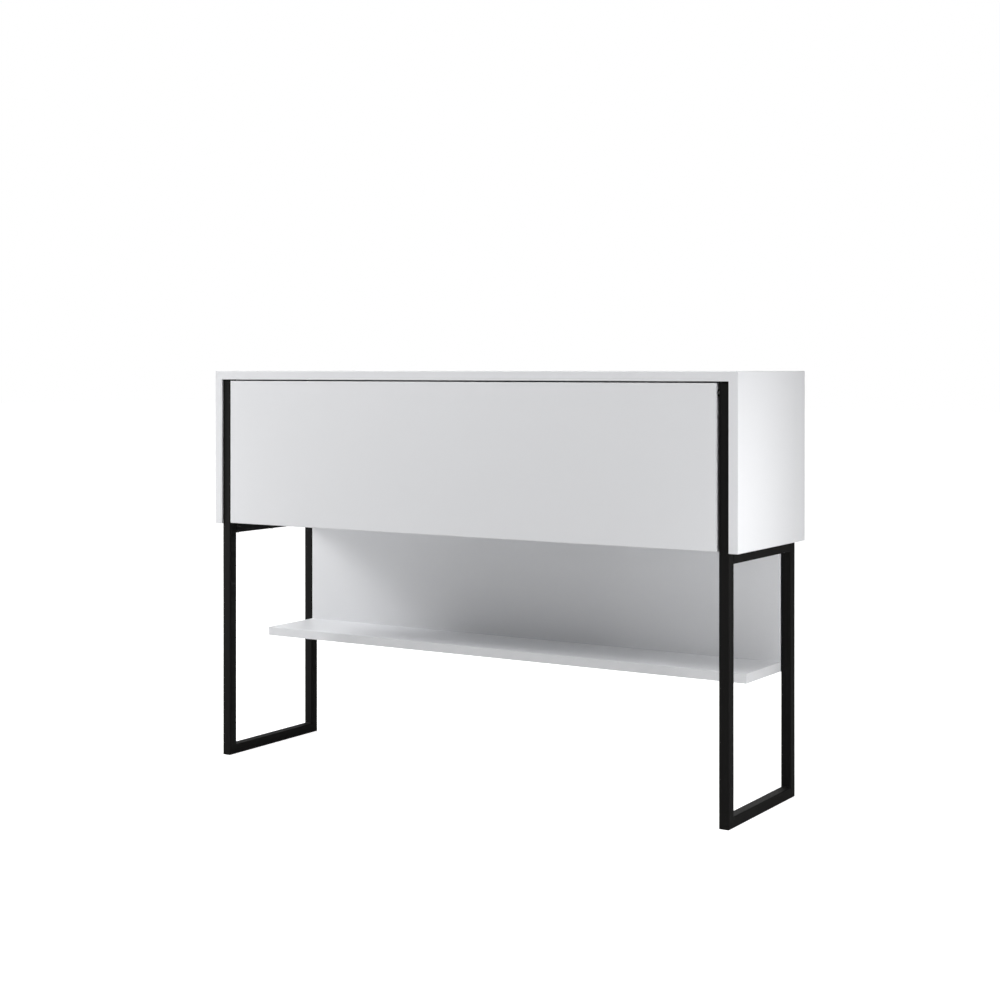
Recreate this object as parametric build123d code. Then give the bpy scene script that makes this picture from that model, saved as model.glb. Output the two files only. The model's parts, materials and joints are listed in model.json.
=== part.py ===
from build123d import *
import os

# Console table: a white board carcass with a lift-up flap, on two square-tube side frames, with a low shelf.
# Millimetres. The origin is on the floor, at the middle of the table: +X to the right, +Y to the back, +Z up.
# Sided pieces are drawn on the right, where X is positive, and mirrored for the left.

# Overall sizes
WIDTH = 1190.0
DEPTH = 300.0
HEIGHT = 800.0
BOARD = 18.0  # thickness of every white board
EDGE_RADIUS = 0.8  # rounding of the boards' banded edges
CASE_BOTTOM = 482.0  # height of the carcass's underside

# Side frames of square tube
TUBE = 20.0
TUBE_WALL = 1.5
TUBE_CORNER = 2.0
FRAME_SETBACK = 3.0  # the uprights stand this far behind the carcass front
FRAME_DEPTH = 293.0

# Door
DOOR_GAP = 3.0
DOOR_DROP = 2.0  # the door stops this far above the carcass's underside
PIVOT_DROP = 17.0  # from the door's top edge down to its pivot

# Lower back panel, shelf and thin back
SHELF_TOP = 253.0
SHELF_FRONT_SETBACK = 125.0
SHELF_END_GAP = 2.0
PANEL_END_GAP = 1.0
BACK_THICKNESS = 3.0
BACK_INSET = 10.0
GROOVE_DEPTH = 8.0
GROOVE_GAP = 0.1

# Fits
RUNNING = 0.05  # radial clearance of a turning pin
OPEN_PIVOT = 0.3  # radial clearance where the stay's four-bar linkage is left open
DRILL_GAP = 0.1  # radial clearance of a hole round its screw or dowel

# Planes that follow from the sizes above
HALF = WIDTH / 2
SIDE_IN = HALF - BOARD  # inner face of a side panel, and outer face of a frame
FRAME_IN = SIDE_IN - TUBE
FRONT = -DEPTH / 2
REAR = DEPTH / 2
TOP_UNDER = HEIGHT - BOARD
FRAME_FRONT = FRONT + FRAME_SETBACK
FRAME_REAR = FRAME_FRONT + FRAME_DEPTH
UPRIGHT_BACK = FRAME_FRONT + TUBE
LEG_FRONT = FRAME_REAR - TUBE
BAR_UNDER = CASE_BOTTOM - TUBE
TUBE_X = FRAME_IN + TUBE / 2
UPRIGHT_Y = FRAME_FRONT + TUBE / 2
DOOR_END = FRAME_IN - DOOR_GAP
DOOR_TOP = TOP_UNDER - DOOR_GAP
DOOR_LOW = CASE_BOTTOM + DOOR_DROP
DOOR_BACK = FRONT + BOARD
PIVOT_Y = FRONT + BOARD / 2
PIVOT_Z = DOOR_TOP - PIVOT_DROP
FLOOR_FRONT = DOOR_BACK + DOOR_GAP  # front edge of the bottom panel
FLOOR_TOP = CASE_BOTTOM + BOARD
FLOOR_MID = CASE_BOTTOM + BOARD / 2
PANEL_BACK = LEG_FRONT + BOARD
SHELF_UNDER = SHELF_TOP - BOARD
SHELF_FRONT = FRONT + SHELF_FRONT_SETBACK
BACK_Y = REAR - BACK_INSET - BACK_THICKNESS

# Door pivots
PIVOT_R = 3.0
BUSH_R = 5.0
BUSH_FLANGE_R = 6.5
BUSH_FLANGE = 1.0
BUSH_LENGTH = 20.0

# Flap stays: door pivot, arm shaft, arm pin and bracket pin are the corners of a parallelogram
PIN_TO_PIVOT_Y = 26.0
PIN_TO_PIVOT_Z = -72.0
SHAFT_TO_PIVOT_Y = 106.0
SHAFT_TO_PIVOT_Z = -14.0
BRACKET_PIN = (PIVOT_Y + PIN_TO_PIVOT_Y, PIVOT_Z + PIN_TO_PIVOT_Z)
SHAFT = (PIVOT_Y + SHAFT_TO_PIVOT_Y, PIVOT_Z + SHAFT_TO_PIVOT_Z)
ARM_PIN = (SHAFT[0] + PIN_TO_PIVOT_Y, SHAFT[1] + PIN_TO_PIVOT_Z)
EYE_R = 10.0
BAR_THICK = 4.0
PIN_R = 3.0
PIN_HEAD_R = 4.8
PIN_HEAD = 1.0
SHAFT_R = 4.0
HOUSING_Y = (-82.0, 58.0)
HOUSING_Z = (704.0, 775.0)
HOUSING_IN = SIDE_IN - 20.0  # the cover lies on this plane
HOUSING_WALL = 1.5
HOUSING_CORNER = 9.0
COVER_THICK = 2.0
EAR_LENGTH = 13.0
EAR_Z = (722.0, 757.0)
EAR_THICK = 2.0
ARM_X = (HOUSING_IN - COVER_THICK - 1.5 - BAR_THICK, HOUSING_IN - COVER_THICK - 1.5)
LINK_X = (ARM_X[0] - 1.0 - BAR_THICK, ARM_X[0] - 1.0)
LUG_X = (LINK_X[0] - 1.0 - BAR_THICK, LINK_X[0] - 1.0)
SPRING_R = 15.0
SPRING_WIRE_R = 1.6
SPRING_TURNS = 4
BRACKET_WIDTH = 32.0
BRACKET_HALF_HEIGHT = 24.0
BRACKET_THICK = 2.5

# Push latches in the bottom panel's front edge
LATCH_X = 300.0
LATCH_R = 5.0
LATCH_LENGTH = 50.0
PLUNGER_R = 3.0
PLUNGER_LENGTH = 30.0
PLUNGER_STROKE = 2.0
PLUNGER_AIR = 0.3  # between plunger tip and strike plate
STRIKE_R = 6.0
STRIKE_THICK = 1.0
MAGNET_R = 2.2
MAGNET_LENGTH = 3.0

# Joinery and fasteners
SPLINE_THICK = 4.0
SPLINE_WIDTH = 14.0
SPLINE_HALF_LENGTH = 120.0
CAM_R = 7.5
CAM_DEPTH = 12.5
CAM_REACH = 34.0  # from the panel's end to the cam's centre
CAM_BOLT_R = 2.5
CAM_BOLT_IN_SIDE = 11.0
CAM_Y = (-90.0, 90.0)
DOWEL_R = 4.0
DOWEL_HALF_LENGTH = 15.0
DOWEL_IN_SIDE = 12.0
DOWEL_Y = (-55.0, 55.0)
FRAME_SCREW_R = 2.1
FRAME_SCREW_BITE = 13.0
UPRIGHT_SCREW_Z = (535.0, 650.0, 725.0)
BAR_SCREW_Y = (-112.0, 0.0, 112.0)
SMALL_SCREW_R = 1.9
SMALL_SCREW = 14.0
CONFIRMAT_R = 2.6
CONFIRMAT_LENGTH = 50.0
CONFIRMAT_X = (-480.0, -240.0, 0.0, 240.0, 480.0)
TAB_WIDTH = 22.0
TAB_HALF_HEIGHT = 16.0
TAB_THICK = FRAME_REAR - PANEL_BACK
TAB_Z = (285.0, 432.0)
HEAD_RATIO = 1.9  # screw head radius to shank radius

RIGHT = (1, 0, 0)
LEFT = (-1, 0, 0)
BACKWARD = (0, 1, 0)
FORWARD = (0, -1, 0)
UP = (0, 0, 1)


def block(x, y, z):
    """A box between two values along each axis."""
    low, high = zip(x, y, z)
    centre = [(a + b) / 2 for a, b in zip(low, high)]
    return Pos(*centre) * Box(*[b - a for a, b in zip(low, high)])


def aim(part, point, direction):
    """A part drawn from the origin along +Z, moved to a point and turned to a direction."""
    return Plane(origin=point, z_dir=direction) * part


def rod(point, direction, radius, length):
    """A round rod that starts at a point."""
    cylinder = Cylinder(radius, length, align=(Align.CENTER, Align.CENTER, Align.MIN))
    return aim(cylinder, point, direction)


def side_slab(points, x):
    """A slab between two X values, with its outline given in Y and Z."""
    outline = make_face(Polyline(*[(x[0], *point) for point in points], close=True))
    return extrude(outline, amount=x[1] - x[0], dir=RIGHT)


def mirrored(part):
    """The left-hand twin of a right-hand part."""
    return mirror(part, about=Plane.YZ)


def both_sides(parts):
    """One group of separate solids: right-hand parts and their left-hand twins."""
    return Compound(children=[*solids_of(parts), *solids_of([mirrored(part) for part in parts])])


def solids_of(parts):
    """Every solid in a list of parts."""
    return [solid for part in parts for solid in part.solids()]


def cross_recess(radius, depth):
    """The cross-shaped driver recess of a screw head."""
    arm = Box(1.9 * radius, 0.42 * radius, 2 * depth)
    return arm + Rot(0, 0, 90) * arm


def pan_screw(radius, length):
    """A pan-head screw with its head under the origin and its shank along +Z."""
    head_height = 0.8 * radius
    head = Cylinder(HEAD_RATIO * radius, head_height, align=(Align.CENTER, Align.CENTER, Align.MAX))
    head = fillet(head.edges().sort_by(Axis.Z)[0], 0.6 * head_height)
    shank = rod((0, 0, 0), UP, radius, length)
    tip = chamfer(shank.edges().sort_by(Axis.Z)[-1], 0.6 * radius)
    return head + tip - Pos(0, 0, -head_height) * cross_recess(radius, 0.6 * head_height)


def sunk_screw(radius, length, grow=0.0):
    """A countersunk screw, flush at the origin, along +Z; grown, it is the hole round it."""
    head_height = 1.1 * radius
    head = Cone(HEAD_RATIO * radius + grow, radius + grow, head_height,
                align=(Align.CENTER, Align.CENTER, Align.MIN))
    shank = rod((0, 0, 0), UP, radius + grow, length + grow)
    if grow:
        return head + shank
    tip = chamfer(shank.edges().sort_by(Axis.Z)[-1], 0.6 * radius)
    return head + tip - cross_recess(radius, 0.5 * head_height)


def back_space(gap):
    """The thin back panel's block, grown by a gap for its grooves."""
    reach = GROOVE_DEPTH - 0.5 + gap * 5
    return block(
        (-SIDE_IN - reach, SIDE_IN + reach),
        (BACK_Y - gap, BACK_Y + BACK_THICKNESS + gap),
        (FLOOR_TOP - reach, TOP_UNDER + reach),
    )


def spline(grow=0.0):
    """The thin strip across the right-hand mitre, square to the mitre's face."""
    centre = (SIDE_IN + BOARD / 3, 0, TOP_UNDER + BOARD / 3)
    strip = Box(SPLINE_WIDTH + grow, 2 * SPLINE_HALF_LENGTH + grow, SPLINE_THICK + grow)
    return Pos(*centre) * Rot(0, 45, 0) * strip


def mitre_prism(x_low, z_low):
    """The half of the right-hand corner outside its mitre plane, seen along Y."""
    corner = [(x_low, z_low), (HALF + BOARD, z_low), (HALF + BOARD, HEIGHT + BOARD)]
    outline = make_face(Polyline(*[(x, REAR, z) for x, z in corner], close=True))
    return extrude(outline, amount=DEPTH, dir=FORWARD)


def front_edges(board):
    """The edges round a board's front face."""
    return board.faces().sort_by(Axis.Y)[0].edges()


def corner_waste():
    """What the rounding takes off the carcass's right-hand top corner."""
    start = (HALF - EDGE_RADIUS, FRONT, HEIGHT - EDGE_RADIUS)
    corner = block((start[0], HALF), (FRONT, REAR), (start[2], HEIGHT))
    return corner - rod(start, BACKWARD, EDGE_RADIUS, DEPTH)


def top_panel():
    """The top board, mitred at both ends."""
    board = block((-HALF, HALF), (FRONT, REAR), (TOP_UNDER, HEIGHT))
    board = fillet(front_edges(board), EDGE_RADIUS)
    waste = [mitre_prism(SIDE_IN, TOP_UNDER), corner_waste(), spline(DRILL_GAP)]
    return board - waste - [mirrored(part) for part in waste] - back_space(GROOVE_GAP)


def side_panel():
    """The right side board, mitred at its top."""
    board = block((SIDE_IN, HALF), (FRONT, REAR), (CASE_BOTTOM, HEIGHT))
    outer_foot = board.edges().filter_by(Axis.Y).group_by(Axis.Z)[0].sort_by(Axis.X)[-1]
    board = fillet([*front_edges(board), outer_foot], EDGE_RADIUS)
    board = board & mitre_prism(SIDE_IN - (TOP_UNDER - CASE_BOTTOM), CASE_BOTTOM)
    board -= [corner_waste(), spline(DRILL_GAP), back_space(GROOVE_GAP)]
    for y in CAM_Y:
        board -= rod((SIDE_IN, y, FLOOR_MID), RIGHT, CAM_BOLT_R + DRILL_GAP, CAM_BOLT_IN_SIDE + DRILL_GAP)
    for y in DOWEL_Y:
        board -= rod((SIDE_IN, y, FLOOR_MID), RIGHT, DOWEL_R + DRILL_GAP, DOWEL_IN_SIDE + DRILL_GAP)
    for z in UPRIGHT_SCREW_Z:
        board -= rod((SIDE_IN, UPRIGHT_Y, z), RIGHT, FRAME_SCREW_R + DRILL_GAP, FRAME_SCREW_BITE + 1)
    for y, z in ear_holes():
        board -= rod((SIDE_IN, y, z), RIGHT, SMALL_SCREW_R + DRILL_GAP, SMALL_SCREW)
    return board


def bottom_panel():
    """The carcass floor, notched round the uprights and drilled for its fittings."""
    board = block((-SIDE_IN, SIDE_IN), (FLOOR_FRONT, REAR), (CASE_BOTTOM, FLOOR_TOP))
    board = fillet(front_edges(board).filter_by(Axis.X), EDGE_RADIUS)
    notch = block(
        (FRAME_IN - DRILL_GAP, SIDE_IN),
        (FLOOR_FRONT, UPRIGHT_BACK + DRILL_GAP),
        (CASE_BOTTOM, FLOOR_TOP),
    )
    holes = [notch, latch_hole()]
    for y in CAM_Y:
        cam_at = (SIDE_IN - CAM_REACH, y, CASE_BOTTOM)
        holes.append(rod(cam_at, UP, CAM_R + DRILL_GAP, CAM_DEPTH + DRILL_GAP))
        holes.append(rod((SIDE_IN, y, FLOOR_MID), LEFT, CAM_BOLT_R + DRILL_GAP, CAM_REACH))
    for y in DOWEL_Y:
        length = 2 * DOWEL_HALF_LENGTH - DOWEL_IN_SIDE + DRILL_GAP
        holes.append(rod((SIDE_IN, y, FLOOR_MID), LEFT, DOWEL_R + DRILL_GAP, length))
    for y in BAR_SCREW_Y:
        holes.append(rod((TUBE_X, y, CASE_BOTTOM), UP, FRAME_SCREW_R + DRILL_GAP, FRAME_SCREW_BITE + 1))
    return board - holes - [mirrored(hole) for hole in holes] - back_space(GROOVE_GAP)


def mitred_tube(outline, axis, start, length, holes=()):
    """A square tube along an axis, cut to its outline in Y and Z, with holes."""
    outer = RectangleRounded(TUBE, TUBE, TUBE_CORNER)
    bore = TUBE - 2 * TUBE_WALL
    inner = RectangleRounded(bore, bore, TUBE_CORNER - TUBE_WALL)
    tube = aim(extrude(outer - inner, amount=length), start, axis)
    tube = tube & side_slab(outline, (FRAME_IN - 1, SIDE_IN + 1))
    for hole in holes:
        tube -= hole
    return tube


def front_upright():
    """The front tube, from the floor to the top board's underside."""
    outline = [(FRAME_FRONT, 0), (UPRIGHT_BACK, TUBE), (UPRIGHT_BACK, TOP_UNDER), (FRAME_FRONT, TOP_UNDER)]
    through = TUBE + 2
    holes = [rod((FRAME_IN - 1, PIVOT_Y, PIVOT_Z), RIGHT, PIVOT_R + DRILL_GAP, through)]
    for z in UPRIGHT_SCREW_Z:
        holes.append(rod((FRAME_IN - 1, UPRIGHT_Y, z), RIGHT, FRAME_SCREW_R + DRILL_GAP, through))
    return mitred_tube(outline, UP, (TUBE_X, UPRIGHT_Y, 0), TOP_UNDER, holes)


def foot_bar():
    """The tube on the floor, mitred into both legs."""
    outline = [(FRAME_FRONT, 0), (FRAME_REAR, 0), (LEG_FRONT, TUBE), (UPRIGHT_BACK, TUBE)]
    return mitred_tube(outline, BACKWARD, (TUBE_X, FRAME_FRONT, TUBE / 2), FRAME_DEPTH)


def rear_leg():
    """The rear tube, mitred into the foot bar and the cross bar."""
    outline = [(FRAME_REAR, 0), (LEG_FRONT, TUBE), (LEG_FRONT, BAR_UNDER), (FRAME_REAR, CASE_BOTTOM)]
    return mitred_tube(outline, UP, (TUBE_X, FRAME_REAR - TUBE / 2, 0), CASE_BOTTOM)


def cross_bar():
    """The tube under the carcass, butted on the upright and mitred into the rear leg."""
    outline = [(UPRIGHT_BACK, BAR_UNDER), (LEG_FRONT, BAR_UNDER), (FRAME_REAR, CASE_BOTTOM),
               (UPRIGHT_BACK, CASE_BOTTOM)]
    holes = []
    for y in BAR_SCREW_Y:
        holes.append(rod((TUBE_X, y, BAR_UNDER - 1), UP, FRAME_SCREW_R + DRILL_GAP, TUBE + 2))
    start = (TUBE_X, UPRIGHT_BACK, BAR_UNDER + TUBE / 2)
    return mitred_tube(outline, BACKWARD, start, FRAME_REAR - UPRIGHT_BACK, holes)


def door_panel():
    """The flap, bored at its ends for the bushes and drilled for brackets and strike plates."""
    board = block((-DOOR_END, DOOR_END), (FRONT, DOOR_BACK), (DOOR_LOW, DOOR_TOP))
    board = fillet(board.edges(), EDGE_RADIUS)
    holes = [rod((DOOR_END, PIVOT_Y, PIVOT_Z), LEFT, BUSH_R + DRILL_GAP, BUSH_LENGTH + DRILL_GAP)]
    holes.append(rod((LATCH_X, DOOR_BACK, FLOOR_MID), FORWARD, PIVOT_R / 2 + DRILL_GAP, BOARD / 2))
    for x, z in bracket_holes():
        start = (x, DOOR_BACK, z)
        holes.append(rod(start, FORWARD, SMALL_SCREW_R + DRILL_GAP, SMALL_SCREW - BRACKET_THICK + DRILL_GAP))
    return board - holes - [mirrored(hole) for hole in holes]


def door_bush():
    """A flanged bush in the door's end."""
    bush = rod((DOOR_END, PIVOT_Y, PIVOT_Z), LEFT, BUSH_R, BUSH_LENGTH)
    bush += rod((DOOR_END, PIVOT_Y, PIVOT_Z), RIGHT, BUSH_FLANGE_R, BUSH_FLANGE)
    bore = rod((DOOR_END + BUSH_FLANGE, PIVOT_Y, PIVOT_Z), LEFT, PIVOT_R + RUNNING, BUSH_LENGTH - 1)
    return bush - bore


def pivot_pin():
    """The steel pin through the upright into the door's bush."""
    reach = BUSH_LENGTH - BUSH_FLANGE - 3
    pin = rod((SIDE_IN, PIVOT_Y, PIVOT_Z), LEFT, PIVOT_R, SIDE_IN - DOOR_END + reach)
    return chamfer(pin.edges().sort_by(Axis.X)[0], 0.6)


def ear_holes():
    """The Y and Z of the four screws that hold a stay's housing."""
    front = HOUSING_Y[0] - EAR_LENGTH / 2
    rear = HOUSING_Y[1] + EAR_LENGTH / 2
    return [(y, z) for y in (front, rear) for z in (EAR_Z[0] + 7, EAR_Z[1] - 7)]


def housing_block(grow, x):
    """The housing's rounded block, grown or shrunk all round."""
    across = HOUSING_Y[1] - HOUSING_Y[0] + 2 * grow
    tall = HOUSING_Z[1] - HOUSING_Z[0] + 2 * grow
    face = RectangleRounded(across, tall, HOUSING_CORNER + grow)
    middle = (x[0], sum(HOUSING_Y) / 2, sum(HOUSING_Z) / 2)
    plane = Plane(origin=middle, x_dir=BACKWARD, z_dir=RIGHT)
    return plane * extrude(face, amount=x[1] - x[0])


def stay_housing():
    """The open box that holds a stay's spring, with an ear at each end for its screws."""
    shell = housing_block(0, (HOUSING_IN, SIDE_IN))
    shell -= housing_block(-HOUSING_WALL, (HOUSING_IN, SIDE_IN - HOUSING_WALL))
    ears = block((SIDE_IN - EAR_THICK, SIDE_IN), (HOUSING_Y[0] - EAR_LENGTH, HOUSING_Y[1] + EAR_LENGTH), EAR_Z)
    corners = ears.edges().filter_by(Axis.X)
    ears = fillet(corners, 5)
    ears -= housing_block(-HOUSING_WALL, (SIDE_IN - EAR_THICK, SIDE_IN))
    boss = rod((SIDE_IN - HOUSING_WALL, *SHAFT), LEFT, SHAFT_R + 2.5, 4)
    bore = rod((SIDE_IN - HOUSING_WALL, *SHAFT), LEFT, SHAFT_R + RUNNING, 5)
    housing = shell + ears + boss - bore
    for y, z in ear_holes():
        housing -= rod((SIDE_IN - EAR_THICK - 1, y, z), RIGHT, SMALL_SCREW_R + DRILL_GAP, EAR_THICK + 2)
    return housing


def stay_cover():
    """The plate that closes a stay's housing, bored for the shaft."""
    cover = housing_block(0, (HOUSING_IN - COVER_THICK, HOUSING_IN))
    rim = cover.faces().sort_by(Axis.X)[0].edges()
    cover = chamfer(rim, 0.8)
    return cover - rod((HOUSING_IN + 1, *SHAFT), LEFT, SHAFT_R + OPEN_PIVOT, COVER_THICK + 2)


def stay_spring():
    """The close-wound torsion spring round a stay's shaft, as one ring of touching turns."""
    turns = []
    for turn in range(SPRING_TURNS):
        along = SIDE_IN - HOUSING_WALL - 5 - 2 * SPRING_WIRE_R * 0.97 * turn
        ring = Torus(SPRING_R - SPRING_WIRE_R, SPRING_WIRE_R)
        turns.append(aim(ring, (along, *SHAFT), RIGHT))
    spring = turns[0]
    for turn in turns[1:]:
        spring += turn
    return spring


def flat_bar(start, end, x):
    """A flat bar with round ends between two points in Y and Z."""
    run = Vector(0, end[0] - start[0], end[1] - start[1])
    middle = Vector(x[0], (start[0] + end[0]) / 2, (start[1] + end[1]) / 2)
    plane = Plane(origin=middle, x_dir=run.normalized(), z_dir=RIGHT)
    waist = Rectangle(run.length, 1.3 * EYE_R)
    eyes = [Pos(sign * run.length / 2, 0) * Circle(EYE_R) for sign in (-1, 1)]
    return plane * extrude(waist + eyes, amount=x[1] - x[0])


def stay_arm():
    """The arm of a stay, fixed on its shaft."""
    arm = flat_bar(SHAFT, ARM_PIN, ARM_X) - rod((ARM_X[0] - 1, *ARM_PIN), RIGHT, PIN_R + DRILL_GAP / 2, BAR_THICK + 2)
    shaft_end = SIDE_IN - HOUSING_WALL - 0.5
    return arm + rod((ARM_X[1], *SHAFT), RIGHT, SHAFT_R, shaft_end - ARM_X[1]) \
        + rod((ARM_X[0], *SHAFT), LEFT, SHAFT_R + 1, 1)


def stay_link():
    """The link between a stay's arm and the door's bracket."""
    link = flat_bar(BRACKET_PIN, ARM_PIN, LINK_X)
    link -= rod((LINK_X[0] - 1, *ARM_PIN), RIGHT, PIN_R + RUNNING, BAR_THICK + 2)
    return link - rod((LINK_X[0] - 1, *BRACKET_PIN), RIGHT, PIN_R + OPEN_PIVOT, BAR_THICK + 2)


def headed_pin(place, x):
    """A round pin along X between two planes, with a thin head outside each."""
    pin = rod((x[0], *place), RIGHT, PIN_R, x[1] - x[0])
    pin += rod((x[0], *place), LEFT, PIN_HEAD_R, PIN_HEAD)
    return pin + rod((x[1], *place), RIGHT, PIN_HEAD_R, PIN_HEAD)


def arm_pin():
    """The pin that joins a stay's arm and link."""
    return headed_pin(ARM_PIN, (LINK_X[0] - 0.3, ARM_X[1]))


def bracket_pin():
    """The pin that joins a stay's link and the door's bracket."""
    return headed_pin(BRACKET_PIN, (LUG_X[0], LINK_X[1] + 0.3))


def bracket_holes():
    """The X and Z of the four screws that hold a door bracket."""
    middle = BRACKET_PIN[1]
    near = LUG_X[0] - 5.5
    far = LUG_X[1] - BRACKET_WIDTH + 6
    return [(x, middle + dz) for x in (near, far) for dz in (-16, 16)]


def door_bracket():
    """The plate on the door's back with an upright lug for the link."""
    z = (BRACKET_PIN[1] - BRACKET_HALF_HEIGHT, BRACKET_PIN[1] + BRACKET_HALF_HEIGHT)
    plate = block((LUG_X[1] - BRACKET_WIDTH, LUG_X[1]), (DOOR_BACK, DOOR_BACK + BRACKET_THICK), z)
    plate = fillet(plate.edges().filter_by(Axis.Y).group_by(Axis.X)[0], 5)
    root = (DOOR_BACK, BRACKET_PIN[1])
    lug = side_slab(
        [(root[0], z[0]), (BRACKET_PIN[0], root[1] - EYE_R), (BRACKET_PIN[0], root[1] + EYE_R), (root[0], z[1])],
        LUG_X,
    )
    lug += rod((LUG_X[0], *BRACKET_PIN), RIGHT, EYE_R, BAR_THICK)
    bracket = plate + lug - rod((LUG_X[0] - 1, *BRACKET_PIN), RIGHT, PIN_R + DRILL_GAP / 2, BAR_THICK + 2)
    for x, hole_z in bracket_holes():
        sunk = sunk_screw(SMALL_SCREW_R, SMALL_SCREW, DRILL_GAP)
        bracket -= aim(sunk, (x, DOOR_BACK + BRACKET_THICK, hole_z), FORWARD)
    return bracket


def latch_hole():
    """The blind hole for a push latch in the bottom panel's front edge."""
    return rod((LATCH_X, FLOOR_FRONT, FLOOR_MID), BACKWARD, LATCH_R + DRILL_GAP, LATCH_LENGTH + DRILL_GAP)


def latch_body():
    """The sleeve of a push latch."""
    sleeve = rod((LATCH_X, FLOOR_FRONT, FLOOR_MID), BACKWARD, LATCH_R, LATCH_LENGTH)
    bore = rod((LATCH_X, FLOOR_FRONT, FLOOR_MID), BACKWARD, PLUNGER_R + DRILL_GAP, LATCH_LENGTH - 3)
    return sleeve - bore


def plunger_front():
    """The Y of a plunger's tip."""
    return DOOR_BACK + STRIKE_THICK + PLUNGER_AIR


def latch_plunger():
    """The sliding pin of a push latch, with a pocket for its magnet."""
    pin = rod((LATCH_X, plunger_front(), FLOOR_MID), BACKWARD, PLUNGER_R, PLUNGER_LENGTH)
    return pin - rod((LATCH_X, plunger_front(), FLOOR_MID), BACKWARD, MAGNET_R + RUNNING, MAGNET_LENGTH + RUNNING)


def latch_magnet():
    """The magnet in a plunger's tip."""
    return rod((LATCH_X, plunger_front(), FLOOR_MID), BACKWARD, MAGNET_R, MAGNET_LENGTH)


def latch_spring():
    """The spring behind a plunger, as one close-wound row of turns."""
    wire = 0.5
    start = plunger_front() + PLUNGER_LENGTH + PLUNGER_STROKE + 2 * wire
    end = FLOOR_FRONT + LATCH_LENGTH - 3 - 2 * wire
    turns = int((end - start) / (1.9 * wire))
    spring = None
    for turn in range(turns):
        ring = aim(Torus(PLUNGER_R - 3 * wire, wire), (LATCH_X, start + 1.9 * wire * turn, FLOOR_MID), BACKWARD)
        spring = ring if spring is None else spring + ring
    return spring


def strike_plate():
    """The steel disc on the door's back that a magnet holds, with its stem."""
    disc = rod((LATCH_X, DOOR_BACK, FLOOR_MID), BACKWARD, STRIKE_R, STRIKE_THICK)
    return disc + rod((LATCH_X, DOOR_BACK, FLOOR_MID), FORWARD, PIVOT_R / 2, BOARD / 2 - 1)


def shelf():
    """The low shelf, drilled in its back edge."""
    board = block((-FRAME_IN + SHELF_END_GAP, FRAME_IN - SHELF_END_GAP), (SHELF_FRONT, LEG_FRONT),
                  (SHELF_UNDER, SHELF_TOP))
    butted = board.faces().sort_by(Axis.Y)[-1].edges()
    board = fillet(board.edges() - butted, EDGE_RADIUS)
    for x in CONFIRMAT_X:
        start = (x, LEG_FRONT, SHELF_TOP - BOARD / 2)
        board -= rod(start, FORWARD, CONFIRMAT_R + DRILL_GAP, CONFIRMAT_LENGTH - BOARD + 1)
    return board


def lower_back_panel():
    """The upright board between the rear legs, drilled for the shelf and the tabs."""
    half = FRAME_IN - PANEL_END_GAP
    board = block((-half, half), (LEG_FRONT, PANEL_BACK), (SHELF_UNDER, CASE_BOTTOM))
    board = fillet(board.edges(), EDGE_RADIUS)
    for x in CONFIRMAT_X:
        sunk = sunk_screw(CONFIRMAT_R, CONFIRMAT_LENGTH, DRILL_GAP)
        board -= aim(sunk, (x, PANEL_BACK, SHELF_TOP - BOARD / 2), FORWARD)
    tab_holes = []
    for x, z in tab_places():
        length = SMALL_SCREW - TAB_THICK + DRILL_GAP
        tab_holes.append(rod((x, PANEL_BACK, z), FORWARD, SMALL_SCREW_R + DRILL_GAP, length))
    return board - tab_holes - [mirrored(hole) for hole in tab_holes]


def tab_places():
    """The X and Z of the right-hand tab screws."""
    return [(FRAME_IN - TAB_WIDTH / 2, middle + dz) for middle in TAB_Z for dz in (-8, 8)]


def panel_tabs():
    """The right-hand steel tabs, welded by one edge to the rear leg."""
    tabs = []
    for middle in TAB_Z:
        z = (middle - TAB_HALF_HEIGHT, middle + TAB_HALF_HEIGHT)
        tab = block((FRAME_IN - TAB_WIDTH, FRAME_IN), (PANEL_BACK, FRAME_REAR), z)
        tab = fillet(tab.edges().filter_by(Axis.Y).group_by(Axis.X)[0], 4)
        for x, hole_z in tab_places():
            tab -= rod((x, PANEL_BACK - 1, hole_z), BACKWARD, SMALL_SCREW_R + DRILL_GAP, TAB_THICK + 2)
        tabs.append(tab)
    return tabs


def cam_lock(y):
    """A cam in the bottom panel's underside, slotted for a driver and bored for its bolt."""
    at = (SIDE_IN - CAM_REACH, y, CASE_BOTTOM)
    cam = rod(at, UP, CAM_R, CAM_DEPTH)
    cam -= Pos(*at) * cross_recess(CAM_R / 2, 1.6)
    return cam - rod((SIDE_IN, y, FLOOR_MID), LEFT, CAM_BOLT_R + DRILL_GAP, CAM_REACH + 1)


def cam_bolt(y):
    """The steel bolt between a side panel and a cam."""
    length = CAM_REACH + CAM_BOLT_IN_SIDE - 2
    bolt = rod((SIDE_IN + CAM_BOLT_IN_SIDE, y, FLOOR_MID), LEFT, CAM_BOLT_R, length)
    return chamfer(bolt.edges().sort_by(Axis.X)[-1], 0.8)


def dowel(y):
    """A wooden dowel between the bottom panel and a side panel."""
    peg = rod((SIDE_IN + DOWEL_IN_SIDE, y, FLOOR_MID), LEFT, DOWEL_R, 2 * DOWEL_HALF_LENGTH)
    return chamfer(peg.edges().filter_by(GeomType.CIRCLE), 0.8)


def frame_screws():
    """The right-hand screws through the upright and the cross bar into the carcass."""
    length = TUBE + FRAME_SCREW_BITE
    screws = []
    for z in UPRIGHT_SCREW_Z:
        screws.append(aim(pan_screw(FRAME_SCREW_R, length), (FRAME_IN, UPRIGHT_Y, z), RIGHT))
    for y in BAR_SCREW_Y:
        screws.append(aim(pan_screw(FRAME_SCREW_R, length), (TUBE_X, y, BAR_UNDER), UP))
    return screws


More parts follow.
